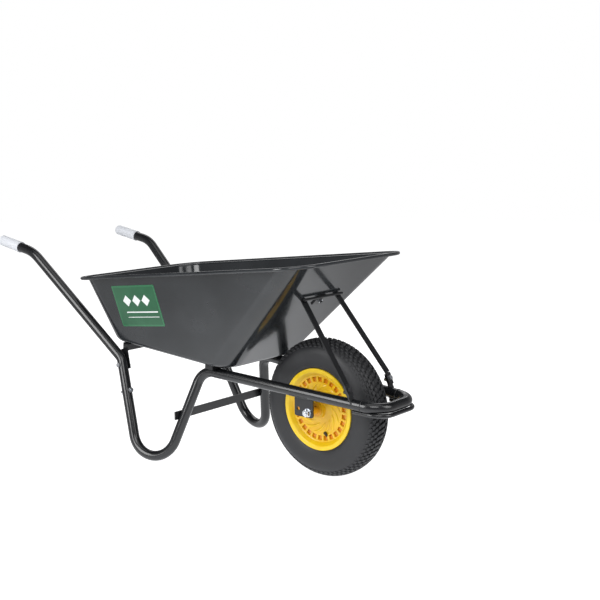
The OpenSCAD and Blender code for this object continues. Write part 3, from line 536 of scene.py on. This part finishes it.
# Closed section of crown, sidewall, seat on the rim and lining, with its mirror image, carried round the axle
def carcass():
    t = np.radians(np.linspace(0, 90, 26))
    r1, y1 = crown(t, tyre["radius"] - tyre["crownDip"])
    r2, y2 = sidewall(np.radians(np.linspace(2, 90, 60)))
    r3, y3 = np.array([tyre["seat"] + 3, tyre["seat"]]), np.array([39, 37])
    r4, y4 = np.array(tyre["lining"]).T
    r = np.concatenate([r1, r2, r3, r4])
    y = np.concatenate([y1, y2, y3, y4])
    r, y = np.concatenate([r, r[:0:-1]]), np.concatenate([y, -y[:0:-1]])
    a = np.linspace(0, 2 * np.pi, tyre["around"], endpoint=False)[:, None]
    rings = revolved(r[None, :], y[None, :], a)
    return solidOf(at(rings + [0, 0, tyre["radius"]]), torus=True)


# Tread block: the corners of a box in the two parameters, wheel angle and section angle,
# in three rings: sunk base, shoulder and top
def treadBlocks():
    pitch = 2 * np.pi / tyre["pitches"]
    corners = np.array([[-1, -1], [1, -1], [1, 1], [-1, 1]], float)
    lifts = (-tyre["blockSink"], tyre["crownDip"] - tyre["blockShoulder"], tyre["crownDip"])
    out = []
    for middle, half, fill, shift in tyre["blockRows"]:
        for side in ((1,) if middle == 0 else (1, -1)):
            a = (np.arange(tyre["pitches"]) + shift + (tyre["sideShift"] if side < 0 else 0)) * pitch
            rings = []
            for size, lift in zip(tyre["blockSizes"], lifts):
                da = corners[:, 0] * fill * pitch / 2 * size
                skew = corners[:, 1] * pitch * tyre["blockSkew"]
                t = np.radians(side * middle + corners[:, 1] * half * size)
                top = tyre["radius"] - tyre["crownDip"] + lift
                wide = tyre["halfWidth"] - tyre["treadInset"] + tyre["treadGrow"] * lift / tyre["crownDip"]
                r, y = crown(t, top, wide)
                rings.append(revolved(r[None, :], y[None, :], a[:, None] + (da + skew)[None, :]))
            out.append(np.stack(rings, 1).reshape(-1, 12, 3))
    blocks = np.concatenate(out)
    sides = [[k * 4 + m, k * 4 + (m + 1) % 4, (k + 1) * 4 + (m + 1) % 4, (k + 1) * 4 + m]
             for k in (0, 1) for m in range(4)]
    faces = np.array(sides + [[3, 2, 1, 0], [8, 9, 10, 11]])
    quads = (faces[None] + 12 * np.arange(len(blocks))[:, None, None]).reshape(-1, 4)
    return facingOut(at(blocks.reshape(-1, 3) + [0, 0, tyre["radius"]]), quads, [])


addPiece("tyreCarcass", carcass(), tyreRubber, "wheel", ["tyre"], sharpAbove=40)
addPiece("treadBlocks", treadBlocks(), tyreRubber, "wheel", sharpAbove=25)
print("tyre made")

rim = {
    "face": ((117, 44), (105, 44), (95, 32), (39, 29), (24, 34), (23, 36), (23, 47)),
    "back": ((15, 47), (15, 0), (23, 0), (23, 27), (92, 23), (92, 0), (97, 0), (97, 20), (105, 26), (105, 39),
             (117, 40)),
    "around": 480, "pockets": 26, "pocketFrom": 77, "pocketTo": 91, "pocketDeep": 6, "pocketFill": 0.6,
    # The two strengths at the end of the next line are painted shade, the orange in the pockets and in the dish
    "pocketEdge": 0.06, "pocketRound": 1.2, "pocketShade": 0.75, "dishShade": 0.3,
    "swirls": 14, "swirlFrom": 40, "swirlTo": 75, "swirlHigh": 2.6, "swirlTwist": 0.0035, "swirlFade": 8,
    "softness": 2,
}


# 1 between the two radii, with smooth edges of the given width inside them
def ringWindow(r, start, end, edge):
    return smooth(r, start, start + edge) * smooth(-r, -end, -end + edge)


# Face: the profile's height over the radius, less pockets (a smooth window in radius and angle) and plus swirls
# (a smooth ridge along turns = twist * radius). The point layer it returns is painted shade: orange in the pockets
# and in the dish, less on the swirls
def rimShape(side):
    length = np.concatenate([[0], np.cumsum(np.hypot(*np.diff(np.array(rim["face"], float), axis=0).T))])
    s = np.linspace(0, length[-1], 110)
    r, y = (np.interp(s, length, np.array(rim["face"], float)[:, k]) for k in (0, 1))
    kernel = np.ones(2 * rim["softness"] + 1) / (2 * rim["softness"] + 1)
    r, y = (np.convolve(np.pad(v, rim["softness"], mode="edge"), kernel, "valid") for v in (r, y))
    back = np.array(rim["back"], float)
    a = np.linspace(0, 2 * np.pi, rim["around"], endpoint=False)[:, None]
    beat = np.abs((a * rim["pockets"] / (2 * np.pi)) % 1 - 0.5) * 2
    inPocket = smooth(-beat, -rim["pocketFill"] - rim["pocketEdge"], -rim["pocketFill"] + rim["pocketEdge"])
    pocket = inPocket * ringWindow(r, rim["pocketFrom"], rim["pocketTo"], rim["pocketRound"])
    spiral = a / (2 * np.pi) + rim["swirlTwist"] * (r - rim["swirlFrom"])
    wave = np.abs(spiral * rim["swirls"] % 1 - 0.5) * 2
    swirl = smooth(-wave, -0.5, -0.15) * ringWindow(r, rim["swirlFrom"], rim["swirlTo"], rim["swirlFade"])
    high = y - rim["pocketDeep"] * pocket + rim["swirlHigh"] * swirl
    # Painted shade: the dish inside r 94 to 100 is darkened, half as much on the swirls, and the pockets more
    dish = smooth(-r, -100, -94) * (1 - 0.5 * swirl)
    relief = np.clip(rim["pocketShade"] * pocket + rim["dishShade"] * dish, 0, 1) + 0 * a
    face = revolved(r[None, :] + 0 * a, high, a)
    rest = revolved(back[None, :, 0], back[None, :, 1], a)
    rings = np.concatenate([face, rest], 1) * [1, side, 1]
    layer = np.concatenate([relief, np.zeros((len(a), len(back)))], 1)
    return solidOf(at(rings + [0, 0, tyre["radius"]]), torus=True), layer


for side, name in ((left, "left"), (right, "right")):
    shape, relief = rimShape(side)
    addPiece("rim_" + name, shape, rimPlastic, "wheel", ["rim_half_" + name],
             sharpAbove=30, layers={"relief": relief})
print("rim made")

grip = {
    "end": (-1164, 247, 618), "ahead": (-0.985736, 0, 0.168296), "length": 106, "cap": 4, "bore": 15.05,
    "mouth": ((15.85, 0), (17.5, 0), (18, 0.8), (18, 5), (17.4, 6)),  # radius, distance from the mouth
    "body": 17.2, "ridgeFrom": 8, "ridgeTo": 14, "ridgePitch": 6.4, "ridgeHigh": 0.55, "dome": 11.2, "around": 56,
}


# Sleeve of revolution: bore, mouth lip, ridged body (a raised cosine along the length) and a domed end
def gripShape():
    total = grip["length"]
    s = np.linspace(grip["ridgeFrom"], total - grip["ridgeTo"], 120)
    ridges = np.maximum(np.cos((s - grip["ridgeFrom"]) * 2 * np.pi / grip["ridgePitch"]), 0) * grip["ridgeHigh"]
    t = np.radians(np.linspace(0, 88, 12))
    dome, deep = grip["dome"], total - grip["cap"]
    mouthR, mouthX = np.array(grip["mouth"]).T
    r = np.concatenate([[1, grip["bore"], grip["bore"]], mouthR, grip["body"] - ridges,
                        grip["body"] - dome + dome * np.cos(t), [0.5]])
    x = np.concatenate([[deep, deep, 0.8], mouthX, s, total - dome + dome * np.sin(t), [total]])
    ahead = np.array(grip["ahead"])
    start = np.array(grip["end"]) - ahead * deep
    up = np.cross(ahead, sideways)
    a = np.linspace(0, 2 * np.pi, grip["around"], endpoint=False)[None, :, None]
    rings = start + x[:, None, None] * ahead + r[:, None, None] * (np.cos(a) * sideways + np.sin(a) * up)
    return solidOf(at(rings))


addPiece("grip_left", gripShape(), gripPlastic, "frame", ["grip_left"])
addPiece("grip_right", mirrored(gripShape()), gripPlastic, "frame", ["grip_right"])
print("grips made")

# Axle nuts, and the axle with its threaded ends
axleNut = {
    "across": 19, "thick": 10, "inner": 87.6, "coneSlope": 2.24, "threadRadius": 6, "pitch": 1.75, "cut": 0.45,
    "threadFrom": 84, "end": 101.6, "endRound": 1.2, "endDrop": 1.3, "around": 96,
}


# Hex nut as a grid: the radius to a flat is (across / 2) / cos(a - nearest flat), kept inside a cone at both faces
def nutShape():
    a = np.linspace(0, 2 * np.pi, axleNut["around"], endpoint=False)[None, :]
    flat = (a + np.pi / 6) % (np.pi / 3) - np.pi / 6
    hexagon = axleNut["across"] / 2 / np.cos(flat)
    y = np.array([0, 0, 0, 0.7, 1.5, 2.5, 5, 7.5, 8.5, 9.3, 10, 10, 10])[:, None] * axleNut["thick"] / 10
    edge = axleNut["across"] / 2 - 0.4 + axleNut["coneSlope"] * np.minimum(y, axleNut["thick"] - y)
    r = np.minimum(hexagon, edge)
    r[[0, -1]], r[[1, -2]] = axleNut["threadRadius"] + 0.05, axleNut["threadRadius"] + 0.9
    r[[1, -2]] = np.minimum(r[[1, -2]], r[[2, -3]])
    rings = revolved(r, axleNut["inner"] + y + 0 * a, a)
    return solidOf(at(rings + [0, 0, tyre["radius"]]), torus=True)


# Thread: radius falls by the cut along a triangle wave of (y / pitch - a / 2 pi), and both ends are domed
def axleShape():
    y = np.linspace(-axleNut["end"], axleNut["end"], 900)[:, None]
    a = np.linspace(0, 2 * np.pi, 36, endpoint=False)[None, :]
    wave = np.abs((y / axleNut["pitch"] - a / (2 * np.pi)) % 1 - 0.5) * 2
    cut = axleNut["cut"] * wave * smooth(np.abs(y), axleNut["threadFrom"], axleNut["threadFrom"] + 2)
    rounding = axleNut["endDrop"] * smooth(np.abs(y), axleNut["end"] - axleNut["endRound"], axleNut["end"])
    r = axleNut["threadRadius"] - cut - rounding
    return solidOf(at(revolved(r, y + 0 * a, a) + [0, 0, tyre["radius"]]))


addPiece("axleNut_left", nutShape(), zinc, "frame", ["axle_nut_left"], 30)
addPiece("axleNut_right", mirrored(nutShape()), zinc, "frame", ["axle_nut_right"], 30)
addPiece("axleRod", axleShape(), zinc, "frame", ["axle"], 50)

weld = {
    "ripple": 0.28, "step": 3.4, "around": 10, "knee": (-358, 134, 277), "nose": (240, 79, 243),
    "joint": 184, "jointRound": 15.1, "plate": (-45, 16), "tab": 157, "bar": (159, 190),
}


# Bead along a path: a tube whose radius ripples with the distance s, r (1 + ripple |sin(pi s / step)|)
def beadShape(path, radius):
    path = finer(np.asarray(path, float), 0.8)
    s = np.concatenate([[0], np.cumsum(np.linalg.norm(np.diff(path, axis=0), axis=1))])
    r = radius * (0.85 + weld["ripple"] * np.abs(np.sin(np.pi * s / weld["step"])))
    r = r * np.sqrt(np.clip(np.minimum(s, s[-1] - s) / 2.5, 0.02, 1))
    return solidOf(at(tubeAlong(path, r, weld["around"], (0.3, 0.5, 0.8))))


# Arc round a tube: middle + radius (cos a * u + sin a * v)
def arcRound(middle, u, v, radius, a0, a1, steps=24):
    a = np.radians(np.linspace(a0, a1, steps))[:, None]
    return np.asarray(middle) + radius * (np.cos(a) * unit(u) + np.sin(a) * unit(v))


# Point on the left rail's middle line at a place x, between its knee and its nose
def railAt(x):
    knee, nose = np.array(weld["knee"]), np.array(weld["nose"])
    return knee + (nose - knee) * (x - knee[0]) / (nose[0] - knee[0])


# Beads round the joint of rail and nose tube, along both edges of the axle plate, behind the stay's tab
# and under the tipping bar, each as an offset from the rail's middle line
def weldShapes():
    along = unit(railAt(1) - railAt(0))
    out = unit(np.cross([0, 0, 1], along))
    joint, tab = railAt(weld["joint"]), railAt(weld["tab"])
    beads = [
        beadShape(arcRound(joint, out, np.cross(along, out), weld["jointRound"], 0, 350, 60), 1.1),
        beadShape([railAt(x) + out * 10.5 + [0, 0, -10.8] for x in weld["plate"]], 1.8),
        beadShape([railAt(x) - out * 3 + [0, 0, -15.2] for x in weld["plate"]], 1.8),
        beadShape([tab + [-8, 15, 13.2], tab + [-8, -4, 15]], 1.6),
        beadShape([railAt(x) + [0, -12, -11] for x in weld["bar"]], 1.6),
    ]
    return bothSides(joined(beads))


addPiece("weldBeads", weldShapes(), weldPaint, "frame", sharpAbove=60)
print("nuts, axle and welds made")

# Finishes of the CAD nodes that stay, by the start of the name; the rest are zinc
nodeFinish = {
    "side_tube": framePaint, "nose_tube": framePaint, "tipping_bar": framePaint, "handle_left": framePaint,
    "handle_right": framePaint, "leg_brace": bracketPaint, "front_support": bracketPaint,
    "rear_crossbar": bracketPaint, "axle_plate": bracketPaint, "stay_left": bracketPaint,
    "stay_right": bracketPaint, "stay_tie": bracketPaint, "stay_tab": bracketPaint, "stay_bolt_right": darkBolt,
    "stay_nut_right": darkBolt, "wall_bolt": darkBolt, "rear_tray_bolt": darkBolt, "front_tray_bolt": darkBolt,
    "axle_spacer": bushPlastic, "hub_bush": bushPlastic, "inner_tube": tubeRubber, "valve_stem": tubeRubber,
    "valve_cap": capPlastic,
}
for name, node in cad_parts.items():
    paint = next((p for key, p in nodeFinish.items() if name.startswith(key)), zinc)
    for slot in node.material_slots:
        slot.material = paint.material
    if not node.material_slots:
        node.data.materials.append(paint.material)

stage = {
    "radius": 9.0, "rings": 24, "around": 96, "drop": 0.0005, "middle": (0.42, -0.3, 0), "bright": 0.4, "dim": 1.25,
}


# Disc: ring radius grows as the square of the step, from the middle out
def floorShape():
    r = stage["radius"] * np.linspace(0.01, 1, stage["rings"])[:, None] ** 2
    a = np.linspace(0, 2 * np.pi, stage["around"], endpoint=False)[None, :]
    ring = np.stack([r * np.cos(a), r * np.sin(a), 0 * r * a - stage["drop"]], -1)
    quads = gridFaces(stage["rings"], stage["around"], False, True)
    return ring.reshape(-1, 3), quads, [np.arange(stage["around"])[::-1]]


# White floor that glows though it is no lamp: painted light. To the camera the glow is plain white; elsewhere it is
# a painted pool of light, bright round the barrow and dimmer further off, where it only shows as a reflection
def glowingFloorPaint():
    paint = Paint("studioFloor", Emission_Strength=1, Roughness=0.9)
    place = paint.place()
    far = paint.add("ShaderNodeVectorMath", {"operation": "DISTANCE"}, {0: place, 1: stage["middle"]}, out="Value")
    seen = paint.add("ShaderNodeLightPath", out="Is Camera Ray")
    # Painted pool of light: the glow falls from bright round the barrow to dim further off
    floorGlow = paint.mix(far.between(stage["bright"], stage["dim"]), (0.85, 0.87, 0.9, 1), (0.14, 0.14, 0.145, 1))
    paint.drive(Base_Color=paint.mix(paint.noise(place, 2), (0.5, 0.5, 0.5, 1), (0.55, 0.55, 0.55, 1)),
                Emission_Color=paint.mix(seen, floorGlow, (1, 1, 1, 1)))
    return paint


floorPaint = glowingFloorPaint()
points, quads, caps = floorShape()
floorMesh = bpy.data.meshes.new("studioFloor")
floorMesh.from_pydata(points.tolist(), [], quads.tolist() + [c.tolist() for c in caps])
floorMesh.materials.append(floorPaint.material)
studioFloor = bpy.data.objects.new("studioFloor", floorMesh)
bpy.context.scene.collection.objects.link(studioFloor)

view = {
    "from": (1.748475, -2.23224, 0.755555), "right": (0.7708, 0.6371, -0.002), "up": (-0.0984, 0.1221, 0.9876),
    "lens": 61.86, "sensor": 36,
}
right3, up3 = unit(view["right"]), np.array(view["up"])
back3 = unit(np.cross(right3, up3))
up3 = np.cross(back3, right3)
cameraData = bpy.data.cameras.new("camera")
cameraData.lens, cameraData.sensor_width = view["lens"], view["sensor"]
camera = bpy.data.objects.new("camera", cameraData)
turn = Matrix(np.stack([right3, up3, back3], -1).tolist()).to_4x4()
camera.matrix_world = Matrix.Translation(Vector(axle + np.array(view["from"]))) @ turn
bpy.context.scene.collection.objects.link(camera)
bpy.context.scene.camera = camera

# Softboxes on spheres round the barrow, turned to its middle: name, degrees to the right of the camera, degrees up,
# distance, width, height and power
lamps = (
    ("softboxLeft", -48, 24, 3.2, 1.4, 2.2, 66),
    ("softboxFront", 8, 38, 3.6, 1.8, 1.4, 34),
    ("softboxTop", 20, 76, 3.4, 3.0, 3.0, 26),
    ("softboxRight", 62, 28, 3.6, 1.4, 2.2, 34),
    ("softboxBack", 178, 35, 4.0, 3.0, 2.0, 24),
)
aim = np.array([0, 0, 0.35])
for name, angle, height, distance, wide, tall, power in lamps:
    data = bpy.data.lights.new(name, "AREA")
    data.shape, data.size, data.size_y, data.energy = "RECTANGLE", wide, tall, power
    lamp = bpy.data.objects.new(name, data)
    a, h = np.arctan2(view["from"][1], view["from"][0]) + np.radians(angle), np.radians(height)
    way = np.array([np.cos(a) * np.cos(h), np.sin(a) * np.cos(h), np.sin(h)])
    facing = Vector(way).to_track_quat("Z", "Y").to_matrix().to_4x4()
    lamp.matrix_world = Matrix.Translation(Vector(aim + way * distance)) @ facing
    bpy.context.scene.collection.objects.link(lamp)

# World: white behind the barrow; for reflections and light, bright at the horizon and dark overhead
world = bpy.data.worlds.new("studio")
bpy.context.scene.world = world
sky = Paint("studio", world, "Background")
height = sky.axes(sky.add("ShaderNodeTexCoord", out="Generated"))[2]
stops = ((0.0, (0.42, 0.42, 0.43, 1)), (0.6, (0.06, 0.06, 0.063, 1)))
sky.drive(Color=sky.mix(sky.add("ShaderNodeLightPath", out="Is Camera Ray"),
                        sky.add("ShaderNodeValToRGB", {"stops": stops}, {0: height}), (1, 1, 1, 1)))
bpy.context.scene.view_settings.view_transform = "Standard"
print("stage set")
